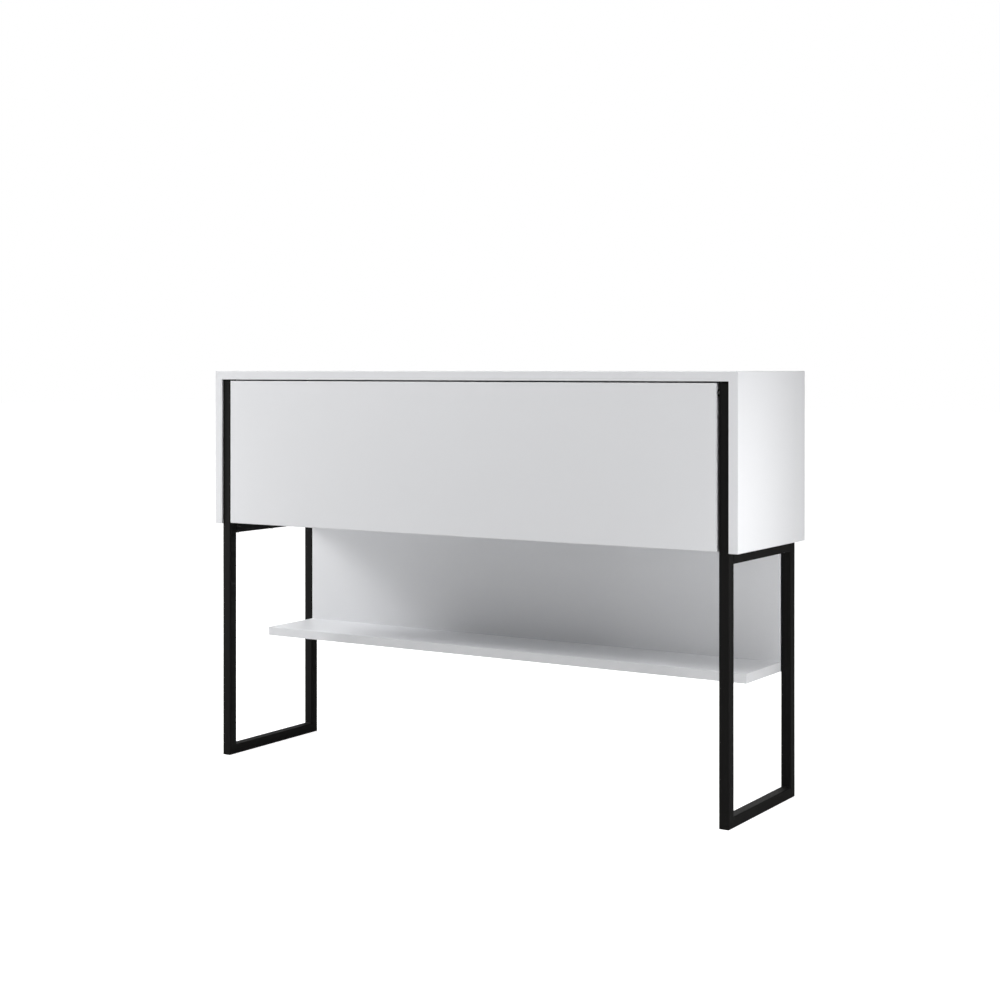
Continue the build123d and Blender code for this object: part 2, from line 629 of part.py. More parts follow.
def tab_screws():
    """The right-hand screws through the tabs into the lower back panel."""
    return [aim(pan_screw(SMALL_SCREW_R, SMALL_SCREW), (x, FRAME_REAR, z), FORWARD) for x, z in tab_places()]


def stay_screws():
    """The right-hand screws through the housing's ears into the side panel."""
    plane = SIDE_IN - EAR_THICK
    return [aim(pan_screw(SMALL_SCREW_R, SMALL_SCREW), (plane, y, z), RIGHT) for y, z in ear_holes()]


def bracket_screws():
    """The right-hand screws through the bracket into the door."""
    plane = DOOR_BACK + BRACKET_THICK
    return [aim(sunk_screw(SMALL_SCREW_R, SMALL_SCREW), (x, plane, z), FORWARD) for x, z in bracket_holes()]


def shelf_screws():
    """The long screws through the lower back panel into the shelf."""
    screws = []
    for x in CONFIRMAT_X:
        screw = sunk_screw(CONFIRMAT_R, CONFIRMAT_LENGTH)
        screws.append(aim(screw, (x, PANEL_BACK, SHELF_TOP - BOARD / 2), FORWARD))
    return screws


ONE_PIECE = {
    "top_panel": top_panel,
    "bottom_panel": bottom_panel,
    "back_panel": lambda: back_space(0),
    "door_panel": door_panel,
    "shelf": shelf,
    "lower_back_panel": lower_back_panel,
}
ONE_EACH_SIDE = {
    "side_panel": side_panel,
    "front_upright": front_upright,
    "foot_bar": foot_bar,
    "rear_leg": rear_leg,
    "cross_bar": cross_bar,
    "stay_housing": stay_housing,
    "stay_cover": stay_cover,
    "stay_arm": stay_arm,
    "stay_arm_pin": arm_pin,
    "stay_link": stay_link,
    "door_bracket": door_bracket,
    "latch_plunger": latch_plunger,
    "latch_magnet": latch_magnet,
}
PAIRED_GROUPS = {
    "mitre_splines": lambda: [spline()],
    "door_bushes": lambda: [door_bush()],
    "pivot_pins": lambda: [pivot_pin()],
    "stay_springs": lambda: [stay_spring()],
    "bracket_pins": lambda: [bracket_pin()],
    "latch_bodies": lambda: [latch_body()],
    "latch_springs": lambda: [latch_spring()],
    "strike_plates": lambda: [strike_plate()],
    "panel_tabs": panel_tabs,
    "cam_locks": lambda: [cam_lock(y) for y in CAM_Y],
    "cam_bolts": lambda: [cam_bolt(y) for y in CAM_Y],
    "dowels": lambda: [dowel(y) for y in DOWEL_Y],
    "frame_screws": frame_screws,
    "tab_screws": tab_screws,
    "stay_screws": stay_screws,
    "bracket_screws": bracket_screws,
}


def all_nodes():
    """Every node of the table by name."""
    nodes = {name: make() for name, make in ONE_PIECE.items()}
    for name, make in ONE_EACH_SIDE.items():
        right = make()
        nodes[f"{name}_right"] = right
        nodes[f"{name}_left"] = mirrored(right)
    for name, make in PAIRED_GROUPS.items():
        nodes[name] = both_sides(make())
    nodes["shelf_screws"] = Compound(children=solids_of(shelf_screws()))
    return nodes


os.makedirs("parts", exist_ok=True)
for node, shape in all_nodes().items():
    export_step(shape, f"parts/{node}.step")
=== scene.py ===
import json
import logging
import math
from dataclasses import dataclass, field
from enum import Enum
from typing import Callable, Iterable, Sequence, Union

import bmesh
import bpy
from mathutils import Matrix, Vector


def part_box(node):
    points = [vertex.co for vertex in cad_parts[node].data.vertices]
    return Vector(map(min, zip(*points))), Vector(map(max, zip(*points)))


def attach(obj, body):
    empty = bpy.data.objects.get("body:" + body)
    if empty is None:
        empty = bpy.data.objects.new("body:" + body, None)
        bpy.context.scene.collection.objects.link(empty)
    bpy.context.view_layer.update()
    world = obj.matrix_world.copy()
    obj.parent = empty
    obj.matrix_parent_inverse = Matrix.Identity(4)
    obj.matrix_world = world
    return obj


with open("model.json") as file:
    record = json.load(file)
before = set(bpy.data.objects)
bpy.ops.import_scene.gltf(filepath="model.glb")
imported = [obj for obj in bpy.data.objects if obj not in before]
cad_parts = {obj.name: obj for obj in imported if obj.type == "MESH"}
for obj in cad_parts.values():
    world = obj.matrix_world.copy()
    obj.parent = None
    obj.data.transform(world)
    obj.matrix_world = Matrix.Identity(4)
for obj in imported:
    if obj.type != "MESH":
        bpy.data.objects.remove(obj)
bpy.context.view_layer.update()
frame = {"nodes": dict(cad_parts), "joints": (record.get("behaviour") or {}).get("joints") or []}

LOG = logging.getLogger("console_table")
ROOT = "carcass"
MM = 0.001
SHARP_ANGLE = math.radians(40)

Number = Union[float, "Socket"]
Colour = tuple[float, float, float]


class Slot(Enum):
    """The record's material slots."""

    WHITE_BOARD = "white_board"
    WHITE_HARDBOARD = "white_hardboard"
    BLACK_STEEL = "black_steel"
    ZINC_STEEL = "zinc_steel"
    SPRING_STEEL = "spring_steel"
    GREY_PLASTIC = "grey_plastic"
    BEECH = "beech"
    MAGNET = "magnet"


class Side(Enum):
    """The two ends of the table, with the sign of their X."""

    LEFT = -1
    RIGHT = 1

    @property
    def word(self) -> str:
        """The side's word in node names."""
        return self.name.lower()


class Axis(Enum):
    """A row axis, with its place in a vector."""

    X = 0
    Y = 1
    Z = 2


# ---------------------------------------------------------------- shader maths


class Socket:
    """An output of a shader node that takes part in arithmetic."""

    def __init__(self, shader: "Shader", output: bpy.types.NodeSocket) -> None:
        """Keep the output and the shader that it belongs to."""
        self.shader = shader
        self.output = output

    def _do(self, operation: str, *values: Number) -> "Socket":
        """Add one Math node.

        Args:
            operation: The Math node's operation.
            values: Its inputs in order.

        Returns:
            The node's value.
        """
        inputs = dict(enumerate(values))
        return self.shader.node("ShaderNodeMath", {"operation": operation}, inputs)

    def __add__(self, other: Number) -> "Socket":
        """self + other."""
        return self._do("ADD", self, other)

    def __radd__(self, other: Number) -> "Socket":
        """other + self."""
        return self._do("ADD", other, self)

    def __sub__(self, other: Number) -> "Socket":
        """self - other."""
        return self._do("SUBTRACT", self, other)

    def __rsub__(self, other: Number) -> "Socket":
        """other - self."""
        return self._do("SUBTRACT", other, self)

    def __mul__(self, other: Number) -> "Socket":
        """self * other."""
        return self._do("MULTIPLY", self, other)

    def __rmul__(self, other: Number) -> "Socket":
        """other * self."""
        return self._do("MULTIPLY", other, self)

    def __lt__(self, other: Number) -> "Socket":
        """1 where self is less than other."""
        return self._do("LESS_THAN", self, other)

    def __gt__(self, other: Number) -> "Socket":
        """1 where self is greater than other."""
        return self._do("GREATER_THAN", self, other)

    def __abs__(self) -> "Socket":
        """The size of self."""
        return self._do("ABSOLUTE", self)

    def highest(self, other: Number) -> "Socket":
        """The greater of self and other."""
        return self._do("MAXIMUM", self, other)


class Shader:
    """A material and its node tree, built from expressions."""

    def __init__(self, name: str) -> None:
        """Make a material with one Principled BSDF.

        Args:
            name: The material's name.
        """
        self.material = bpy.data.materials.new(name)
        self.material.use_nodes = True
        self.tree = self.material.node_tree
        self.surface = self.tree.nodes["Principled BSDF"]

    def node(
        self,
        kind: str,
        settings: dict[str, object] | None = None,
        inputs: dict[int | str, object] | None = None,
        output: int | str = 0,
    ) -> Socket:
        """Add one node.

        Args:
            kind: The node's type.
            settings: Its own properties, set before its inputs; "stops" fills a colour ramp.
            inputs: A value or a Socket for each named or numbered input.
            output: The output to return.

        Returns:
            The chosen output.
        """
        node = self.tree.nodes.new(kind)
        for name, value in (settings or {}).items():
            if name == "stops":
                self._fill_ramp(node, value)
            else:
                setattr(node, name, value)
        for name, value in (inputs or {}).items():
            self.feed(node.inputs[name], value)
        return Socket(self, node.outputs[output])

    def feed(self, target: bpy.types.NodeSocket, value: object) -> None:
        """Link a Socket to an input, or set a plain value on it."""
        if isinstance(value, Socket):
            self.tree.links.new(value.output, target)
        else:
            target.default_value = value

    def set(self, **values: object) -> None:
        """Set or link the shader's own inputs; underscores in names stand for spaces."""
        for name, value in values.items():
            if isinstance(value, tuple) and len(value) == 3:
                value = (*value, 1.0)
            self.feed(self.surface.inputs[name.replace("_", " ")], value)

    def coordinates(self) -> Socket:
        """The place on the object, in metres, in its own frame."""
        return self.node("ShaderNodeTexCoord", output="Object")

    def facing(self) -> Socket:
        """The surface normal in the object's own frame."""
        return self.node("ShaderNodeTexCoord", output="Normal")

    def part(self, vector: Socket, axis: Axis) -> Socket:
        """One component of a vector."""
        return self.node("ShaderNodeSeparateXYZ", inputs={0: vector}, output=axis.value)

    def stretched(self, vector: Socket, scale: Sequence[float]) -> Socket:
        """A vector multiplied by a scale along each axis."""
        return self.node("ShaderNodeVectorMath", {"operation": "MULTIPLY"}, {0: vector, 1: tuple(scale)})

    def noise(self, vector: Socket, size: float, detail: float = 2.0, roughness: float = 0.5) -> Socket:
        """Smooth noise from 0 to 1 with features of about one size.

        Args:
            vector: The place, in metres.
            size: The features' size in metres.
            detail: How many finer layers are added.
            roughness: How strong the finer layers are.

        Returns:
            The noise value.
        """
        inputs = {"Vector": vector, "Scale": 1 / size, "Detail": detail, "Roughness": roughness}
        return self.node("ShaderNodeTexNoise", inputs=inputs)

    def ramp(self, factor: Socket, stops: Sequence[tuple[float, Colour]]) -> Socket:
        """A colour ramp read at a factor."""
        return self.node("ShaderNodeValToRGB", {"stops": stops}, {0: factor})

    def mix(self, factor: Number, first: object, second: object) -> Socket:
        """A blend of two colours by a factor."""
        colours = [(*c, 1.0) if isinstance(c, tuple) and len(c) == 3 else c for c in (first, second)]
        inputs = {0: factor, 6: colours[0], 7: colours[1]}
        return self.node("ShaderNodeMix", {"data_type": "RGBA"}, inputs, output=2)

    def bump(self, height: Socket, distance: float, strength: float = 1.0) -> None:
        """Raise the surface by a height from 0 to 1 times a distance in metres."""
        inputs = {"Height": height, "Distance": distance, "Strength": strength}
        self.set(Normal=self.node("ShaderNodeBump", inputs=inputs))

    @staticmethod
    def _fill_ramp(node: bpy.types.Node, stops: Sequence[tuple[float, Colour]]) -> None:
        """Give a colour ramp its stops."""
        elements = node.color_ramp.elements
        while len(elements) < len(stops):
            elements.new(1.0)
        for element, (place, colour) in zip(elements, stops):
            element.position = place
            element.color = (*colour, 1.0)


# ---------------------------------------------------------------- finishes


@dataclass(frozen=True)
class Seam:
    """A hairline across a board where its edge band ends."""

    axis: Axis
    place: float


@dataclass(frozen=True)
class MelamineFinish:
    """Matt white melamine on particle board, with edge bands and a bare back edge."""

    colour: Colour = (0.765, 0.772, 0.790)
    warm_colour: Colour = (0.758, 0.764, 0.780)
    roughness: float = 0.42
    pearl_size: float = 0.9 * MM
    pearl_height: float = 0.012 * MM
    seam_half_width: float = 0.09 * MM
    seam_shade: float = 0.72

    def material(self, name: str, seams: Sequence[Seam], bare_back: float | None) -> bpy.types.Material:
        """Make one board's material.

        Args:
            name: The material's name.
            seams: Where the edge bands end.
            bare_back: The Y of the board's bare rear edge, or None where it is banded.

        Returns:
            The material.
        """
        shader = Shader(name)
        place = shader.coordinates()
        facing = shader.facing()
        cloud = shader.noise(place, 0.22, 3.0)
        pearl = shader.noise(place, self.pearl_size, 3.0, 0.6)
        handled = shader.noise(place, 0.035, 4.0, 0.65)
        colour = shader.mix(cloud, self.colour, self.warm_colour)
        line = self._seam_mask(shader, place, facing, seams)
        shaded = tuple(self.seam_shade * c for c in self.colour)
        colour = shader.mix(line, colour, shaded)
        rough = self.roughness + 0.10 * (handled - 0.5) + 0.05 * (pearl - 0.5)
        height = pearl - 6.0 * line
        if bare_back is not None:
            bare = self._bare_mask(shader, place, facing, bare_back)
            chips = ChipboardFinish().colour_of(shader, place)
            colour = shader.mix(bare, colour, chips)
            rough = rough + 0.4 * bare
            height = height + bare * 14.0 * shader.noise(place, 2.2 * MM, 4.0, 0.7)
        shader.set(Base_Color=colour, Roughness=rough)
        shader.bump(height, self.pearl_height)
        return shader.material

    @staticmethod
    def _seam_mask(shader: Shader, place: Socket, facing: Socket, seams: Sequence[Seam]) -> Socket | float:
        """The lines where bands end, on faces that the seam crosses."""
        mask: Socket | float = 0.0
        for seam in seams:
            near = abs(shader.part(place, seam.axis) - seam.place) < MelamineFinish.seam_half_width
            across = abs(shader.part(facing, seam.axis)) < 0.5
            line = near * across
            mask = line if isinstance(mask, float) else mask.highest(line)
        return mask

    @staticmethod
    def _bare_mask(shader: Shader, place: Socket, facing: Socket, rear: float) -> Socket:
        """The unbanded rear edge of a board."""
        behind = shader.part(place, Axis.Y) > rear - 0.6 * MM
        return behind * (shader.part(facing, Axis.Y) > 0.6)


@dataclass(frozen=True)
class ChipboardFinish:
    """Pressed wood chips, as on a bare board edge."""

    chip_length: float = 3.4 * MM

    def colour_of(self, shader: Shader, place: Socket) -> Socket:
        """The colour of the chips at a place."""
        flat = shader.stretched(place, (0.45, 1.0, 1.9))
        inputs = {"Vector": flat, "Scale": 1 / self.chip_length}
        cells = shader.node("ShaderNodeTexVoronoi", {"feature": "F1"}, inputs, "Color")
        tone = shader.part(cells, Axis.X) * 0.7 + shader.noise(place, 0.8 * MM, 3.0) * 0.3
        stops = [(0.1, (0.16, 0.09, 0.045)), (0.45, (0.42, 0.27, 0.15)), (0.9, (0.62, 0.46, 0.29))]
        return shader.ramp(tone, stops)


@dataclass(frozen=True)
class HardboardFinish:
    """Thin fibreboard, white inside and pale grey fibre behind."""

    white: Colour = (0.73, 0.73, 0.735)
    fibre_light: Colour = (0.62, 0.60, 0.565)
    fibre_dark: Colour = (0.50, 0.475, 0.435)

    def material(self, name: str) -> bpy.types.Material:
        """Make the back panel's material."""
        shader = Shader(name)
        place = shader.coordinates()
        behind = shader.part(shader.facing(), Axis.Y) > 0.5
        fibres = shader.noise(shader.stretched(place, (1.0, 1.0, 2.5)), 1.6 * MM, 5.0, 0.7)
        back = shader.mix(fibres, self.fibre_dark, self.fibre_light)
        shader.set(Base_Color=shader.mix(behind, self.white, back), Roughness=0.5 + 0.25 * behind)
        shader.bump(fibres * (0.2 + 0.8 * behind), 0.05 * MM)
        return shader.material


@dataclass(frozen=True)
class PowderCoatFinish:
    """Fine satin powder coat on steel tube."""

    colour: Colour = (0.0062, 0.0060, 0.0058)
    dusty_colour: Colour = (0.0095, 0.0092, 0.0089)
    roughness: float = 0.58
    peel_size: float = 1.1 * MM
    peel_height: float = 0.03 * MM

    def material(self, name: str) -> bpy.types.Material:
        """Make the coat's material."""
        shader = Shader(name)
        place = shader.coordinates()
        peel = shader.noise(place, self.peel_size, 2.0, 0.45)
        grit = shader.noise(place, 0.25 * MM, 1.0)
        dust = shader.noise(place, 0.05, 4.0, 0.6)
        low = shader.part(place, Axis.Z) < 0.03
        near_floor = low * dust
        colour = shader.mix(0.6 * dust + 0.4 * near_floor, self.colour, self.dusty_colour)
        shader.set(Base_Color=colour, Roughness=self.roughness + 0.10 * (peel - 0.5) + 0.12 * (dust - 0.5))
        shader.set(Specular_IOR_Level=0.08)
        shader.bump(peel + 0.35 * grit, self.peel_height)
        return shader.material


@dataclass(frozen=True)
class PlatedFinish:
    """A plated or bare metal, slightly uneven."""

    colour: Colour
    tint: Colour
    roughness: float
    grain_size: float = 0.6 * MM
    grain_height: float = 0.006 * MM

    def material(self, name: str) -> bpy.types.Material:
        """Make the metal's material."""
        shader = Shader(name)
        place = shader.coordinates()
        patches = shader.noise(place, 9 * MM, 4.0, 0.6)
        grain = shader.noise(place, self.grain_size, 3.0)
        stops = [(0.25, self.colour), (0.75, self.tint)]
        shader.set(Base_Color=shader.ramp(patches, stops), Metallic=1.0)
        shader.set(Roughness=self.roughness + 0.16 * (patches - 0.5) + 0.08 * (grain - 0.5))
        shader.bump(grain, self.grain_height)
        return shader.material


@dataclass(frozen=True)
class MouldedFinish:
    """Fine-grained moulded plastic."""

    colour: Colour = (0.045, 0.046, 0.048)
    worn_colour: Colour = (0.060, 0.062, 0.064)
    roughness: float = 0.48

    def material(self, name: str) -> bpy.types.Material:
        """Make the plastic's material."""
        shader = Shader(name)
        place = shader.coordinates()
        spark = shader.noise(place, 0.45 * MM, 2.0)
        flow = shader.noise(place, 0.03, 3.0)
        shader.set(Base_Color=shader.mix(flow, self.colour, self.worn_colour))
        shader.set(Roughness=self.roughness + 0.12 * (spark - 0.5) + 0.08 * (flow - 0.5))
        shader.bump(spark, 0.02 * MM)
        return shader.material


@dataclass(frozen=True)
class BeechFinish:
    """Bare beech, with its grain along X and small flecks."""

    light: Colour = (0.58, 0.37, 0.20)
    dark: Colour = (0.40, 0.23, 0.11)

    def material(self, name: str) -> bpy.types.Material:
        """Make the wood's material."""
        shader = Shader(name)
        place = shader.coordinates()
        grain = shader.noise(shader.stretched(place, (0.12, 1.0, 1.0)), 0.9 * MM, 4.0, 0.6)
        fleck = shader.noise(shader.stretched(place, (0.3, 1.0, 1.0)), 0.4 * MM, 1.0) > 0.66
        shader.set(Base_Color=shader.mix(grain * 0.8 + fleck * 0.2, self.light, self.dark))
        shader.set(Roughness=0.62 + 0.1 * grain)
        shader.bump(grain, 0.03 * MM)
        return shader.material


@dataclass(frozen=True)
class FloorFinish:
    """A plain pale floor that glows a little, as a backlit sweep does."""

    colour: Colour = (0.50, 0.50, 0.50)
    glow: float = 0.82

    def material(self, name: str) -> bpy.types.Material:
        """Make the floor's material."""
        shader = Shader(name)
        tone = shader.noise(shader.coordinates(), 0.8, 2.0)
        softer = tuple(0.99 * c for c in self.colour)
        seen = shader.node("ShaderNodeLightPath", output="Is Camera Ray")
        glow = shader.mix(seen, (0.0, 0.0, 0.0), (self.glow, self.glow, self.glow))
        shader.set(Base_Color=shader.mix(tone, self.colour, softer), Roughness=0.8, Specular_IOR_Level=0.1)
        shader.set(Emission_Color=glow, Emission_Strength=1.0)
        return shader.material


ZINC = PlatedFinish((0.56, 0.57, 0.58), (0.63, 0.62, 0.59), 0.30)
SPRING_WIRE = PlatedFinish((0.16, 0.155, 0.15), (0.22, 0.20, 0.18), 0.34)
NICKEL = PlatedFinish((0.50, 0.49, 0.47), (0.56, 0.55, 0.53), 0.22)


class Paintbox:
    """Makes each finish once and puts it on nodes and pieces."""

    def __init__(self) -> None:
        """Make the finishes that several pieces share."""
        self.shared = {
            Slot.BLACK_STEEL: PowderCoatFinish().material("powder_coat"),
            Slot.ZINC_STEEL: ZINC.material("zinc_plate"),
            Slot.SPRING_STEEL: SPRING_WIRE.material("spring_wire"),
            Slot.GREY_PLASTIC: MouldedFinish().material("moulded_grey"),
            Slot.BEECH: BeechFinish().material("beech_wood"),
            Slot.MAGNET: NICKEL.material("nickel_plate"),
            Slot.WHITE_HARDBOARD: HardboardFinish().material("hardboard"),
        }
        self.dressed: set[str] = set()

    def dress(self, nodes: Iterable[str], slot: Slot) -> None:
        """Put a shared finish on CAD nodes."""
        for name in nodes:
            self.put(name, self.shared[slot])

    def put(self, name: str, material: bpy.types.Material) -> None:
        """Put one material on one CAD node."""
        slots = frame["nodes"][name].data.materials
        slots.clear()
        slots.append(material)
        self.dressed.add(name)
        LOG.info("dressed %s with %s", name, material.name)

    def check(self) -> None:
        """Stop if a CAD node has been left as it was packed."""
        left = sorted(set(frame["nodes"]) - self.dressed)
        if left:
            raise ValueError(f"no finish on {left}")


# ---------------------------------------------------------------- mesh work


class Builder:
    """Collects one piece's faces and turns them into an object."""

    def __init__(self, name: str) -> None:
        """Start an empty piece."""
        self.name = name
        self.mesh = bmesh.new()

    def loft(self, rings: Sequence[Sequence[Vector]], closed: bool = True) -> None:
        """Join rings of points into a skin with flat ends.

        Args:
            rings: Rings with the same number of points, in order.
            closed: Whether the first and last rings are capped.
        """
        rows = [[self.mesh.verts.new(point) for point in ring] for ring in rings]
        count = len(rows[0])
        for near, far in zip(rows, rows[1:]):
            for k in range(count):
                following = (k + 1) % count
                self.mesh.faces.new((near[k], near[following], far[following], far[k]))
        if closed:
            self.mesh.faces.new(list(reversed(rows[0])))
            self.mesh.faces.new(rows[-1])

    def finish(self, material: bpy.types.Material, body: str = ROOT) -> bpy.types.Object:
        """Make the object, dress it and let it ride.

        Args:
            material: The piece's material.
            body: The CAD body that it moves with.

        Returns:
            The finished object.
        """
        bmesh.ops.recalc_face_normals(self.mesh, faces=self.mesh.faces)
        data = bpy.data.meshes.new(self.name)
        self.mesh.to_mesh(data)
        self.mesh.free()
        piece = bpy.data.objects.new(self.name, data)
        bpy.context.scene.collection.objects.link(piece)
        data.materials.append(material)
        data.shade_smooth()
        data.set_sharp_from_angle(angle=SHARP_ANGLE)
        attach(piece, body)
        LOG.info("built %s, %d faces, on %s", self.name, len(data.polygons), body)
        return piece


def facing_matrix(origin: Vector, direction: Vector) -> Matrix:
    """A place whose local Z points in a direction."""
    return Matrix.Translation(origin) @ direction.to_track_quat("Z", "Y").to_matrix().to_4x4()


# ---------------------------------------------------------------- sub-assemblies


@dataclass
class Carcass:
    """The boxed white case: top, sides, floor and back, and what joins them."""

    paint: Paintbox
    band: float = 1.0 * MM
    melamine: MelamineFinish = field(default_factory=MelamineFinish)

    def build(self) -> None:
        """Dress the boards, back panel and joinery."""
        self._dress_top()
        for side in Side:
            self._dress_side(side)
        self._dress_floor()
        self.paint.dress(["back_panel"], Slot.WHITE_HARDBOARD)
        self.paint.dress(["mitre_splines", "dowels"], Slot.BEECH)
        self.paint.dress(["cam_locks", "cam_bolts"], Slot.ZINC_STEEL)

    def _dress_top(self) -> None:
        """The top board is banded in front."""
        low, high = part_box("top_panel")
        seams = [Seam(Axis.Y, low.y + self.band)]
        self.paint.put("top_panel", self.melamine.material("board_top", seams, high.y))

    def _dress_side(self, side: Side) -> None:
        """A side board is banded in front and below."""
        name = f"side_panel_{side.word}"
        low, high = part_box(name)
        seams = [Seam(Axis.Y, low.y + self.band), Seam(Axis.Z, low.z + self.band)]
        self.paint.put(name, self.melamine.material(f"board_{name}", seams, high.y))

    def _dress_floor(self) -> None:
        """The case floor is banded in front."""
        low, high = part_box("bottom_panel")
        seams = [Seam(Axis.Y, low.y + self.band)]
        self.paint.put("bottom_panel", self.melamine.material("board_floor", seams, high.y))


@dataclass
class Flap:
    """The lift-up door with its bushes, brackets and strike plates."""

    paint: Paintbox
    band: float = 1.0 * MM
    melamine: MelamineFinish = field(default_factory=MelamineFinish)

    def build(self) -> None:
        """Dress the door, banded all round, and what is fixed to it."""
        low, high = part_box("door_panel")
        seams = [Seam(Axis.X, low.x + self.band), Seam(Axis.X, high.x - self.band)]
        seams += [Seam(Axis.Z, low.z + self.band), Seam(Axis.Z, high.z - self.band)]
        self.paint.put("door_panel", self.melamine.material("board_door", seams, None))
        self.paint.dress(["door_bushes"], Slot.GREY_PLASTIC)
        metal = ["door_bracket_left", "door_bracket_right", "bracket_pins", "bracket_screws"]
        self.paint.dress([*metal, "pivot_pins", "strike_plates"], Slot.ZINC_STEEL)


@dataclass
class LowShelf:
    """The low shelf, the board behind it, and the tabs that hold that board."""

    paint: Paintbox
    band: float = 1.0 * MM
    melamine: MelamineFinish = field(default_factory=MelamineFinish)

    def build(self) -> None:
        """Dress both boards, the tabs and their screws."""
        low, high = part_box("shelf")
        ends = [Seam(Axis.X, low.x + self.band), Seam(Axis.X, high.x - self.band)]
        seams = [*ends, Seam(Axis.Y, low.y + self.band)]
        self.paint.put("shelf", self.melamine.material("board_shelf", seams, None))
        low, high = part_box("lower_back_panel")
        ends = [Seam(Axis.X, low.x + self.band), Seam(Axis.X, high.x - self.band)]
        seams = [*ends, Seam(Axis.Z, low.z + self.band)]
        self.paint.put("lower_back_panel", self.melamine.material("board_lower_back", seams, None))
        self.paint.dress(["panel_tabs"], Slot.BLACK_STEEL)
        self.paint.dress(["tab_screws", "shelf_screws"], Slot.ZINC_STEEL)


@dataclass
class SideFrames:
    """The two welded tube frames, with the bead left in each inner corner."""

    paint: Paintbox
    bead: float = 2.2 * MM
    bead_inset: float = 2.0 * MM
    tab_bead: float = 0.9 * MM
    tab_bead_half: float = 10.0 * MM
    tab_half: float = 16.0 * MM
    ripple: float = 2.6 * MM
    swelling: float = 0.10
    thin_end: float = 0.25
    sink: float = 0.25 * MM

    def build(self) -> None:
        """Dress the tubes and weld their corners."""
        for side in Side:
            tubes = ["front_upright", "foot_bar", "rear_leg", "cross_bar"]
            self.paint.dress([f"{tube}_{side.word}" for tube in tubes], Slot.BLACK_STEEL)
            self._corner_beads(side)
            self._tab_beads(side)
        self.paint.dress(["frame_screws"], Slot.ZINC_STEEL)

    def _corner_beads(self, side: Side) -> None:
        """A bead across the tube in each inner corner of one frame."""
        foot_low, foot_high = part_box(f"foot_bar_{side.word}")
        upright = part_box(f"front_upright_{side.word}")[1]
        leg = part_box(f"rear_leg_{side.word}")[0]
        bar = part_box(f"cross_bar_{side.word}")[0]
        up, down = Vector((0, 0, 1)), Vector((0, 0, -1))
        back, front = Vector((0, 1, 0)), Vector((0, -1, 0))
        corners = {
            "foot_front": (upright.y, foot_high.z, back, up),
            "foot_rear": (leg.y, foot_high.z, front, up),
            "bar_front": (upright.y, bar.z, back, down),
            "bar_rear": (leg.y, bar.z, front, down),
        }
        for name, (y, z, along, away) in corners.items():
            start = Vector((foot_low.x + self.bead_inset, y, z))
            end = Vector((foot_high.x - self.bead_inset, y, z))
            self._bead(f"weld_{name}_{side.word}", start, end, (along, away), self.bead)

    def _tab_beads(self, side: Side) -> None:
        """A short bead where each tab meets the rear leg."""
        leg_low, leg_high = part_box(f"rear_leg_{side.word}")
        inner = leg_low.x if side is Side.RIGHT else leg_high.x
        tabs_low, tabs_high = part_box("panel_tabs")
        y = tabs_high.y - self.tab_bead
        away = (Vector((-side.value, 0, 0)), Vector((0, 1, 0)))
        for name, z in (("low", tabs_low.z + self.tab_half), ("high", tabs_high.z - self.tab_half)):
            start = Vector((inner, y, z - self.tab_bead_half))
            end = Vector((inner, y, z + self.tab_bead_half))
            self._bead(f"weld_tab_{name}_{side.word}", start, end, away, self.tab_bead)

    def _bead(self, name: str, start: Vector, end: Vector, away: tuple[Vector, Vector], leg: float) -> None:
        """One rippled bead along the corner between two faces.

        Args:
            name: The piece's name.
            start: One end of the corner.
            end: The other end.
            away: Along each of the two faces, away from the corner.
            leg: How far the bead reaches along each face.
        """
        first, second = away
        builder = Builder(name)
        steps, arc_steps = 42, 8
        length = (end - start).length
        rings = []
        for step in range(steps + 1):
            share = step / steps
            taper = min(1.0, math.sin(math.pi * share) * 5) ** 0.5 if 0 < share < 1 else self.thin_end
            swell = 1 + self.swelling * math.cos(2 * math.pi * share * length / self.ripple)
            reach = leg * max(self.thin_end, taper) * swell + self.sink
            centre = start.lerp(end, share) - self.sink * (first + second)
            arc = [math.pi / 2 * k / arc_steps for k in range(arc_steps + 1)]
            ring = [centre + reach * (math.cos(a) * first + math.sin(a) * second) for a in arc]
            rings.append([*ring, centre])
        builder.loft(rings)
        builder.finish(self.paint.shared[Slot.BLACK_STEEL])


